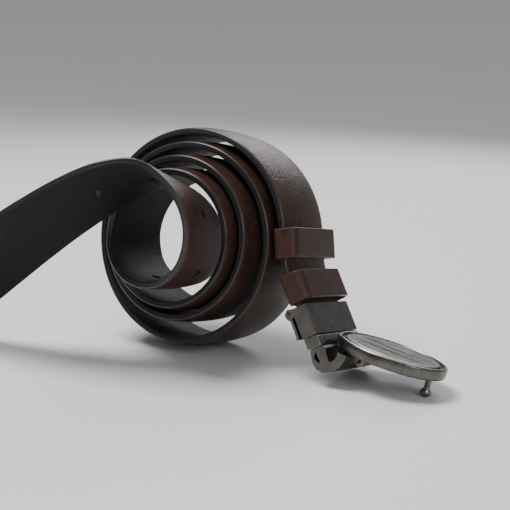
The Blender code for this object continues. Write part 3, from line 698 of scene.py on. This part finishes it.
@dataclass
class Strap:
    """The strap: a domed leather face with painted edges, over a flat black lining, with punched holes."""

    route: StrapRoute
    face: Material
    lining: Material
    raw: Material
    edge_height: float = 2.5 * MM
    lining_thickness: float = 0.92 * MM
    seam: float = 0.06 * MM
    edge_bulge: float = 0.22 * MM
    lining_inset: float = 0.25 * MM
    lining_corner: float = 0.45 * MM
    crown_power: float = 0.7
    edge_run_mm: float = 1.6
    under_mark: float = 20 * MM
    tip_length: float = 20.0 * MM
    tip_kept: float = 0.10
    tip_power: float = 2.2
    hole_radius: float = 1.9 * MM
    hole_pitch: float = 25.0 * MM
    hole_count: int = 5
    first_hole: float = 129.5 * MM
    tool_depth: float = 8.4 * MM

    def tip(self) -> Array:
        """How much of its width the strap keeps: a rounded end, full from the tip length on."""
        u = np.clip(self.route.run / self.tip_length, 0.0, 1.0)
        return self.tip_kept + (1.0 - self.tip_kept) * np.sqrt(1.0 - (1.0 - u) ** self.tip_power)

    def dome(self, x: Array) -> Array:
        """Height of the face over the lining's back, crowned in the middle."""
        u = np.clip(np.abs(x) / (self.route.width / 2), 0.0, 1.0)
        rise = self.route.thickness - self.edge_height
        return self.edge_height + rise * (1.0 - u**2) ** self.crown_power

    def face_section(self) -> tuple[Array, Array, Array]:
        """The face's outline: the dome, two bulged edges and a flat underside.

        Returns:
            Across and up for each point, and the distance across the leather, which runs on over the edges.
        """
        half = self.route.width / 2 - self.edge_bulge
        low = self.lining_thickness + self.seam
        s = np.linspace(-1.0, 1.0, 25)
        top = half * np.sin(s * math.pi / 2)
        up = self.dome(top * (1 + self.edge_bulge / half))
        t = np.linspace(0.0, 1.0, 7)[1:]
        drop = self.edge_height + (low - self.edge_height) * t
        bulge = half + self.edge_bulge * np.sin(math.pi * t**0.8)
        under = np.linspace(half, -half, 6)[1:-1]
        x = np.concatenate([top, bulge, under, -bulge[::-1]])
        z = np.concatenate([up, drop, np.full(4, low), drop[::-1]])
        side = half + t * self.edge_run_mm * MM
        v = np.concatenate([top, side, np.sign(under) * self.under_mark, -side[::-1]])
        return x, z, v

    def lining_section(self) -> tuple[Array, Array, Array]:
        """The lining's outline: a thin slab with rounded lower corners.

        Returns:
            Across and up for each point, and the distance across.
        """
        half, high = self.route.width / 2 - self.lining_inset, self.lining_thickness
        corner = self.lining_corner
        t = np.linspace(0.0, math.pi / 2, 5)
        right_x, right_z = half - corner + corner * np.cos(t), corner - corner * np.sin(t)
        flat = np.linspace(half - corner, -half + corner, 14)[1:-1]
        over = np.linspace(-half, half, 6)
        x = np.concatenate([over, right_x, flat, -right_x[::-1]])
        z = np.concatenate([np.full(6, high), right_z, np.zeros(12), right_z[::-1]])
        return x, z, x

    def layer(self, name: str, section: tuple[Array, ...],
              finish: Material) -> bpy.types.Object:
        """Carries a section along the route, narrowed at the tip.

        Args:
            name: the piece's name.
            section: across, up and the UV distance across.
            finish: its material.

        Returns:
            The object.
        """
        x, z, v = section
        route = self.route
        width = x[None, :] * self.tip()[:, None]
        height = (z - route.thickness / 2)[None, :, None]
        rings = (
            route.points[:, None, :] + width[:, :, None] * route.across[:, None, :]
            + height * route.outward[:, None, :]
        )
        uv = np.stack(np.broadcast_arrays(route.run[:, None], v[None, :]), axis=-1)
        return tube_object(name, rings, uv, finish)

    def punch(self, piece: bpy.types.Object) -> None:
        """Cuts the row of round holes through a layer.

        Args:
            piece: the layer.
        """
        for i in range(self.hole_count):
            point, _, outward, _ = self.route.at(self.first_hole + i * self.hole_pitch)
            turn = Vector(outward).to_track_quat("Z", "Y").to_matrix().to_4x4()
            bpy.ops.mesh.primitive_cylinder_add(
                vertices=40, radius=self.hole_radius, depth=self.tool_depth
            )
            tool = bpy.context.object
            tool.data.transform(Matrix.Translation(point) @ turn)
            tool.location = (0.0, 0.0, 0.0)
            tool.data.materials.append(self.raw)
            cut = piece.modifiers.new("hole", "BOOLEAN")
            cut.operation, cut.solver, cut.object = "DIFFERENCE", "EXACT", tool
            cut.material_mode = "TRANSFER"
            depsgraph = bpy.context.evaluated_depsgraph_get()
            holed = bpy.data.meshes.new_from_object(piece.evaluated_get(depsgraph))
            piece.modifiers.clear()
            piece.data = holed
            bpy.data.objects.remove(tool)
        piece.data.set_sharp_from_angle(angle=LEATHER_CREASE)

    def build(self) -> None:
        """Makes both layers, cuts their holes, lets them ride the strap and hides the solids they stand for.
        """
        face = self.layer("strap_face_leather", self.face_section(), self.face)
        lining = self.layer("strap_lining_leather", self.lining_section(), self.lining)
        for piece, slot, stood in (
            (face, "face_leather", ("strap_face", "strap_filler")),
            (lining, "lining_leather", ("strap_lining",)),
        ):
            self.punch(piece)
            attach(piece, "strap")
            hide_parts(*stood)
            log.info("%s rides the strap", piece.name)


@dataclass
class Keeper:
    """A flat leather loop round the strap, with softened corners and painted edges."""

    name: str
    body: str
    node: str
    distance: float
    route: StrapRoute
    finish: Material
    height: float = 12.5 * MM
    wall: float = 1.4 * MM
    back_gap: float = 0.5 * MM
    front_gap: float = 3.1 * MM
    side_gap: float = 0.5 * MM
    back_corner: float = 2.2 * MM
    front_corner: float = 4.0 * MM
    edge_radius: float = 0.42 * MM
    crown: float = 0.22 * MM
    facing_front: float = 0.9

    def path(self) -> tuple[Array, Array, Array]:
        """A rounded rectangle round the strap's room: four straight runs and four quarter circles.

        Returns:
            Points (out, across), their outward directions, and the distance round the loop.
        """
        half = self.route.thickness / 2
        front, back = self.front_corner - self.wall / 2, self.back_corner - self.wall / 2
        low, high = -half - self.back_gap - self.wall / 2, half + self.front_gap + self.wall / 2
        side = self.route.width / 2 + self.side_gap + self.wall / 2
        starts = np.radians([0.0, 90.0, 180.0, 270.0])
        centre = np.array([(high - front, side - front), (low + back, side - back),
                           (low + back, -side + back), (high - front, -side + front)])
        radius = np.array([front, back, back, front])[:, None, None]
        angle = starts[:, None] + np.linspace(0.0, math.pi / 2, 11)[None, :]
        facing = np.stack([np.cos(angle), np.sin(angle)], axis=-1)
        bends = centre[:, None, :] + radius * facing
        nexts = np.roll(bends, -1, axis=0)[:, :1]
        t = np.linspace(0.0, 1.0, 30)[None, 1:-1, None]
        runs = bends[:, -1:] * (1 - t) + nexts * t
        runs_facing = np.broadcast_to(facing[:, -1:], runs.shape)
        points = np.concatenate([bends, runs], axis=1).reshape(-1, 2)
        normals = np.concatenate([facing, runs_facing], axis=1).reshape(-1, 2)
        steps = np.linalg.norm(np.diff(points, axis=0), axis=1)
        return points, normals, np.concatenate([[0.0], np.cumsum(steps)])

    def section(self) -> tuple[Array, Array]:
        """The band's own outline: a tall thin rectangle with rounded corners.

        Returns:
            Offsets out of the middle, and up the band.
        """
        t, r = self.wall / 2, self.edge_radius
        rise = self.height / 2
        quarter = np.linspace(0.0, math.pi / 2, 5)
        straight = np.linspace(rise - r, -rise + r, 12)[1:-1]
        out = np.concatenate([t - r + r * np.sin(quarter), np.full(10, t), t - r + r * np.cos(quarter)])
        up = np.concatenate([rise - r + r * np.cos(quarter), straight, -rise + r - r * np.sin(quarter)])
        return np.concatenate([out, -out]), np.concatenate([up, -up])

    def build(self) -> None:
        """Carries the outline round the path, a touch crowned in front, and dresses it."""
        points, normals, round_loop = self.path()
        out, up = self.section()
        origin, across, outward, along = self.route.at(self.distance)
        along = unit(along)
        across = unit(across - (across @ along) * along)
        outward = np.cross(along, across)
        rise = np.clip(1 - (points[:, 1] / (self.route.width / 2)) ** 2, 0, 1)
        crown = self.crown * rise * (normals[:, 0] > self.facing_front)
        crowned = points + normals * crown[:, None]
        place = crowned[:, None, :] + out[None, :, None] * normals[:, None, :]
        rings = (
            origin + place[:, :, :1] * outward + place[:, :, 1:] * across
            - np.broadcast_to(up[None, :, None], place[:, :, :1].shape) * along
        )
        uv = np.stack(np.broadcast_arrays(round_loop[:, None], up[None, :]), axis=-1)
        piece = tube_object(self.name, rings, uv, self.finish, closed=True)
        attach(piece, self.body)
        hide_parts(self.node)


@dataclass
class Buckle:
    """The metal pieces, shown as they are made, with their edges softened and painted brighter: a painted
    highlight that stands partly for burnished wear.
    """

    plate_metal: Material
    highlight_and_wear_metal: Material
    pin_metal: Material
    edge: float = 0.26 * MM
    edge_steps: int = 3
    weld: float = 0.004 * MM
    flat_within: float = math.radians(0.5)
    rounded_above: float = math.radians(30)
    plated: tuple[str, ...] = ("clamp_box", "clamp_lever", "neck_collar", "gooseneck")
    turned: tuple[str, ...] = (
        "lever_pin", "swivel_post", "swivel_spring", "spring_washer", "neck_dowel_left",
        "neck_dowel_right", "plate_pin", "stud",
    )

    def dress(self, name: str, finish: Material, edge: float) -> None:
        """Gives one solid its material, joins its triangles and rounds its sharp edges.

        Args:
            name: the solid's name.
            finish: its material.
            edge: the width of the rounding, or 0 for none.
        """
        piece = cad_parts[name]
        piece.data.materials.clear()
        piece.data.materials.append(finish)
        # the second slot is brighter metal for the rounded edges: a painted highlight, standing partly for
        # burnished wear
        piece.data.materials.append(self.highlight_and_wear_metal if edge else finish)
        weld = piece.modifiers.new("joined", "WELD")
        weld.merge_threshold = self.weld
        if edge:
            flat = piece.modifiers.new("flats", "DECIMATE")
            flat.decimate_type = "DISSOLVE"
            flat.angle_limit = self.flat_within
            soft = piece.modifiers.new("softened", "BEVEL")
            soft.width, soft.segments = edge, self.edge_steps
            soft.limit_method, soft.angle_limit = "ANGLE", self.rounded_above
            # the rounded faces take the second slot, the painted edge highlight
            soft.material = 1
        piece.data.shade_smooth()
        smooth = piece.modifiers.new("shading", "WEIGHTED_NORMAL")
        smooth.keep_sharp = True
        log.info("%s dressed", name)

    def build(self) -> None:
        """Dresses every metal piece."""
        for name in self.plated:
            self.dress(name, self.plate_metal, self.edge)
        for name in self.turned:
            self.dress(name, self.pin_metal, 0.0)


@dataclass
class OvalPlate:
    """The oval plate: a wall with a bead, a sunk channel, a raised field with two grooves, and ears."""

    route: StrapRoute
    finish: Material
    clamp_at: float = 33.3 * MM
    hinge: tuple[float, float] = (12.8 * MM, -29.6 * MM)
    slope: float = math.radians(41.0)
    half_length: float = 23.6 * MM
    half_width: float = 18.5 * MM
    centre: float = 7.9 * MM
    low: float = 2.25 * MM
    thickness: float = 5.1 * MM
    field_length: float = 20.2 * MM
    field_width: float = 15.1 * MM
    field_low: float = 6.35 * MM
    field_high: float = 7.25 * MM
    groove_at: float = 3.9 * MM
    groove_half: float = 1.15 * MM
    groove_reach: float = 15.5 * MM
    groove_depth: float = 0.75 * MM
    ear_low: float = 8.5 * MM
    ear_thickness: float = 2.6 * MM
    ear_radius: float = 1.9 * MM
    ear_rim: float = 0.12 * MM
    ear_rim_scale: float = 0.94
    around: int = 200

    def __post_init__(self) -> None:
        """Finds the plate's own directions: the clamp's, turned by the slope about the strap's width."""
        origin, across, _, along = self.route.at(self.route.coil_run + self.clamp_at)
        along = unit(along)
        self.y = unit(across - (across @ along) * along)
        out, up = np.cross(along, self.y), -along
        self.origin = origin + self.hinge[0] * out + self.hinge[1] * up
        self.x = out * math.cos(self.slope) - up * math.sin(self.slope)
        self.z = out * math.sin(self.slope) + up * math.cos(self.slope)

    def placed(self, rows: Array) -> Array:
        """Points in the plate's directions, moved to where the plate is."""
        return self.origin + rows[..., :1] * self.x + rows[..., 1:2] * self.y + rows[..., 2:] * self.z

    def add(self, name: str, points: Array, faces: list, shade: Array) -> None:
        """Makes a skin with its shade map, facing out, and lets it ride the plate.

        Args:
            name: the piece's name.
            points: points in the plate's directions.
            faces: its faces.
            shade: how oxidised each point is, and how much painted highlight it has, standing partly for
                polish, (points, 2).
        """
        mesh = bpy.data.meshes.new(name)
        mesh.from_pydata(self.placed(points), [], faces)
        set_uv(mesh, "shade", shade)
        mesh.materials.append(self.finish)
        edit = bmesh.new()
        edit.from_mesh(mesh)
        bmesh.ops.recalc_face_normals(edit, faces=edit.faces)
        edit.to_mesh(mesh)
        edit.free()
        mesh.shade_smooth()
        mesh.set_sharp_from_angle(angle=METAL_CREASE)
        made = linked(name, mesh)
        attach(made, "plate")
        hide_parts("plate_field" if "field" in name else "plate_body")
        log.info("%s: %d faces", name, len(faces))

    def wall(self) -> None:
        """Ellipses whose inset and height follow an outline in mm, from the underside to the channel."""
        low, top = self.low / MM, (self.low + self.thickness) / MM
        knots = np.array([
            (0.0, 1.70, low), (1.0, 1.05, low + 0.12), (2.0, 0.30, low + 0.75), (3.0, 0.0, low + 2.2),
            (4.0, 0.0, top - 1.3), (5.0, 0.22, top - 0.42), (6.0, 0.90, top), (7.0, 1.50, top - 0.40),
            (8.0, 1.80, top - 1.30),
        ])
        bead, bead_spread, channel, channel_fade = 6.0, 1.1, 7.0, 0.7
        t = np.linspace(knots[0, 0], knots[-1, 0], 49)
        inset, height = smooth_curve(knots, t).T * MM
        angle = np.linspace(0.0, math.tau, self.around, endpoint=False)
        x = self.centre + (self.half_length - inset)[:, None] * np.cos(angle)
        y = (self.half_width - inset)[:, None] * np.sin(angle)
        z = np.broadcast_to(height[:, None], x.shape)
        points = np.stack([x, y, z], axis=-1)
        # painted highlight round the bead, standing partly for polish
        highlight_and_polish = np.clip(1 - np.abs(t - bead) / bead_spread, 0, 1) ** 0.8
        oxide = np.clip((t - channel) / channel_fade, 0, 1)
        shade = np.stack(np.broadcast_arrays(oxide[:, None], highlight_and_polish[:, None]), axis=-1)
        shade = np.broadcast_to(shade, (len(t), self.around, 2)).reshape(-1, 2)
        faces = ring_quads(len(t), self.around).tolist() + end_caps(len(t), self.around)
        self.add("plate_wall", points.reshape(-1, 3), faces, shade)

    def field(self) -> None:
        """A square grid drawn out to an ellipse, with a round border and two grooves."""
        rows, columns = 181, 141
        rim, rim_fade, rim_drop, highlight_ring_width = 0.965, 0.035, 0.35 * MM, 0.02
        s, t = np.meshgrid(np.linspace(-1, 1, rows), np.linspace(-1, 1, columns), indexing="ij")
        u, v = s * np.sqrt(1 - t**2 / 2), t * np.sqrt(1 - s**2 / 2)
        x, y = self.field_length * u, self.field_width * v
        out = np.sqrt(u**2 + v**2)
        border = np.clip((out - rim) / rim_fade, 0, 1)
        taper = np.sqrt(np.clip(1 - (x / self.groove_reach) ** 2, 0.0, 1.0))
        half = np.maximum(self.groove_half * taper, 1e-6)
        inside = np.clip(1.25 - np.abs(np.abs(y) - self.groove_at) / half, 0.0, 1.0) * (taper > 0)
        groove = np.clip(inside * 3.0, 0, 1)
        groove = groove**2 * (3 - 2 * groove)
        z = self.field_high - rim_drop * border**2 - self.groove_depth * groove
        top = np.stack([self.centre + x, y, z], axis=-1).reshape(-1, 3)
        ring = np.concatenate([
            np.arange(rows) * columns, (rows - 1) * columns + np.arange(1, columns),
            np.arange(rows - 2, -1, -1) * columns + columns - 1, np.arange(columns - 2, 0, -1),
        ])
        foot = top[ring].copy()
        foot[:, 2] = self.field_low
        index = np.arange(rows * columns).reshape(rows, columns)
        quads = np.stack(
            [index[:-1, :-1], index[1:, :-1], index[1:, 1:], index[:-1, 1:]], axis=-1
        ).reshape(-1, 4).tolist()
        n, start = len(ring), rows * columns
        nexts = np.roll(np.arange(n), -1)
        skirt = np.stack([ring, ring[nexts], start + nexts, start + np.arange(n)], axis=-1).tolist()
        # painted highlight in a thin ring at the field's border, standing partly for polish
        highlight_and_polish = np.exp(-(((out - rim) / highlight_ring_width) ** 2)) * 0.7 * (inside <= 0)
        stained = np.clip(inside * 12.0, 0.0, 1.0)
        shade = np.stack([np.maximum(stained, border**2 * 0.4), highlight_and_polish], axis=-1).reshape(-1, 2)
        shade = np.vstack([shade, np.tile([1.0, 0.0], (n, 1))])
        base = [list(range(start, start + n))]
        self.add("plate_raised_field", np.vstack([top, foot]), quads + skirt + base, shade)

    def ears(self) -> None:
        """Two hinge ears: an outline with a round end, carried across with softened rims."""
        angle = np.radians(np.linspace(170.0, 350.0, 25))
        r = self.ear_radius
        root = self.low + 0.2 * MM
        head = np.array([(3.4 * MM, root), (-3.0 * MM, root)])
        outline = np.vstack([head, np.stack([r * np.cos(angle), r * np.sin(angle)], axis=1)])
        middle = np.array([0.0, 0.6 * MM])
        inset = np.array([self.ear_rim_scale, 1.0, 1.0, self.ear_rim_scale])
        depth = np.array([0.0, self.ear_rim, self.ear_thickness - self.ear_rim, self.ear_thickness])
        rings = middle + (outline - middle)[None] * inset[:, None, None]
        stations, n = rings.shape[:2]
        faces = ring_quads(stations, n).tolist() + end_caps(stations, n)
        for name, side in (("front", -1.0), ("rear", 1.0)):
            y = np.broadcast_to((side * (self.ear_low + depth))[:, None], rings.shape[:2])
            points = np.stack([rings[..., 0], y, rings[..., 1]], axis=-1)
            self.add(f"plate_ear_{name}", points.reshape(-1, 3), faces, np.zeros((stations * n, 2)))

    def build(self) -> None:
        """Makes the wall, the raised field and the ears."""
        self.wall()
        self.field()
        self.ears()


# ---- studio


@dataclass
class Studio:
    """The floor, the soft lights and the camera."""

    camera_at: Vector = field(default_factory=lambda: Vector((271.77, -377.15, 139.30)) * MM)
    yaw: float = math.radians(30.773)
    pitch: float = math.radians(78.610)
    tilt: float = math.radians(2.355)
    lens: float = 78.35
    sensor: float = 36.0
    floor_half: float = 4.5
    sweep: float = 2.0
    flat_radius: float = 1.2
    rise_radius: float = 1.3
    around: int = 96
    sky: tuple[float, ...] = (0.80, 0.83, 0.88, 1.0)
    sky_strength: float = 0.42

    def light(self, name: str, at: Place, aim: Place, size: float, power: float, colour: Colour) -> None:
        """Adds one soft square light.

        Args:
            name: the light's name.
            at: where it hangs.
            aim: where it points.
            size: its side.
            power: its power in watts.
            colour: its colour.
        """
        lamp = bpy.data.lights.new(name, "AREA")
        lamp.size, lamp.energy, lamp.color = size, power, colour
        made = linked(name, lamp)
        made.location = at
        made.rotation_euler = (Vector(aim) - Vector(at)).to_track_quat("-Z", "Y").to_euler()

    def build(self, paper: Material) -> None:
        """Sets the floor, the world, the lights and the camera.

        Args:
            paper: the floor's material.
        """
        flat = np.linspace(0.0, self.flat_radius, 7)[1:]
        radius = np.concatenate([flat, np.linspace(self.rise_radius, self.floor_half, 40)])
        height = np.clip(radius - self.flat_radius, 0.0, None) ** 2 / (2 * self.sweep)
        angle = np.linspace(0.0, math.tau, self.around, endpoint=False)
        x, y = radius[:, None] * np.cos(angle), radius[:, None] * np.sin(angle)
        points = np.stack([x, y, np.broadcast_to(height[:, None], x.shape)], axis=-1).reshape(-1, 3)
        quads = np.roll(ring_quads(len(radius), self.around)[:, ::-1], 1, axis=1)
        mesh = bpy.data.meshes.new("studio_floor")
        mesh.from_pydata(points, [], quads.tolist() + [list(range(self.around))])
        mesh.shade_smooth()
        mesh.materials.append(paper)
        linked("studio_floor", mesh)
        world = bpy.context.scene.world or bpy.data.worlds.new("studio")
        bpy.context.scene.world = world
        world.use_nodes = True
        back = world.node_tree.nodes["Background"]
        back.inputs["Color"].default_value = self.sky
        back.inputs["Strength"].default_value = self.sky_strength
        self.light("key", (-0.30, -0.20, 0.95), (0.0, 0.0, 0.04), 0.45, 13.0, (1.0, 0.98, 0.95))
        self.light("fill", (0.95, -0.55, 0.55), (0.02, 0.0, 0.04), 0.5, 4.0, (0.92, 0.96, 1.0))
        self.light("back", (-0.15, 0.85, 0.60), (0.0, 0.0, 0.05), 0.5, 4.5, (0.95, 0.97, 1.0))
        camera = bpy.data.cameras.new("camera")
        camera.lens, camera.sensor_width = self.lens, self.sensor
        camera.clip_start = 0.01
        made = linked("camera", camera)
        turn = (
            Matrix.Rotation(self.yaw, 4, "Z") @ Matrix.Rotation(self.pitch, 4, "X")
            @ Matrix.Rotation(self.tilt, 4, "Z")
        )
        made.matrix_world = Matrix.Translation(self.camera_at) @ turn
        bpy.context.scene.camera = made


def main() -> None:
    """Builds the belt's pieces in order."""
    logging.basicConfig(level=logging.INFO, format="%(name)s %(message)s")
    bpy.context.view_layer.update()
    route = StrapRoute()
    half = route.width / 2
    sliding_at, fixed_at, width_read_at = 6.25 * MM, 25.5 * MM, 5 * MM
    brown: Colour = (0.046, 0.021, 0.014)
    face = DressLeather(
        "face_leather", brown, (0.019, 0.009, 0.007), (0.016, 0.017, 0.020), half, Grain.GLAZED
    ).make()
    lining = DressLeather(
        "lining_leather", (0.013, 0.012, 0.013), (0.008, 0.008, 0.009), (0.014, 0.015, 0.018), half,
        Grain.SUEDED, roughness=0.62, coat=0.0, specular=0.16, sheen=(0.9, 0.95, 1.0),
    ).make()
    raw = DressLeather(
        "punched_edge", (0.020, 0.012, 0.010), (0.010, 0.007, 0.006), (0.012, 0.009, 0.009), half,
        Grain.SUEDED, roughness=0.7, coat=0.0,
    ).make()
    keeper = DressLeather(
        "keeper_leather", brown, (0.022, 0.010, 0.008), (0.016, 0.012, 0.012),
        Keeper.height / 2, Grain.FOLDED, crease_scale=(0.10, 1.3, 1.0),
    ).make()
    start = route.coil_run
    width_axis = Vector(route.at(start + width_read_at)[1])
    metal = BrushedPlate("buckle_metal", (0.19, 0.178, 0.165), (0.105, 0.098, 0.092), width_axis).make()
    oval = BrushedPlate(
        "plate_metal", (0.17, 0.158, 0.146), (0.090, 0.084, 0.078), width_axis, shaded=True
    ).make()
    steel = TurnedSteel("pin_steel", (0.20, 0.195, 0.19)).make()

    Strap(route, face, lining, raw).build()
    Keeper("keeper_sliding_leather", "keeper", "keeper_sliding", start + sliding_at, route, keeper).build()
    Keeper("keeper_fixed_leather", "strap", "keeper_fixed", start + fixed_at, route, keeper).build()
    # bright metal for every softened edge: a painted highlight, standing partly for burnished wear
    edge_highlight_and_wear = BrushedPlate("highlight_and_wear_edges", (0.55, 0.52, 0.48), (0.36, 0.34, 0.31), width_axis).make()
    Buckle(metal, edge_highlight_and_wear, steel).build()
    OvalPlate(route, oval).build()
    Studio().build(PlainPaper("paper", (0.72, 0.72, 0.71)).make())


if __name__ == "__main__":
    main()
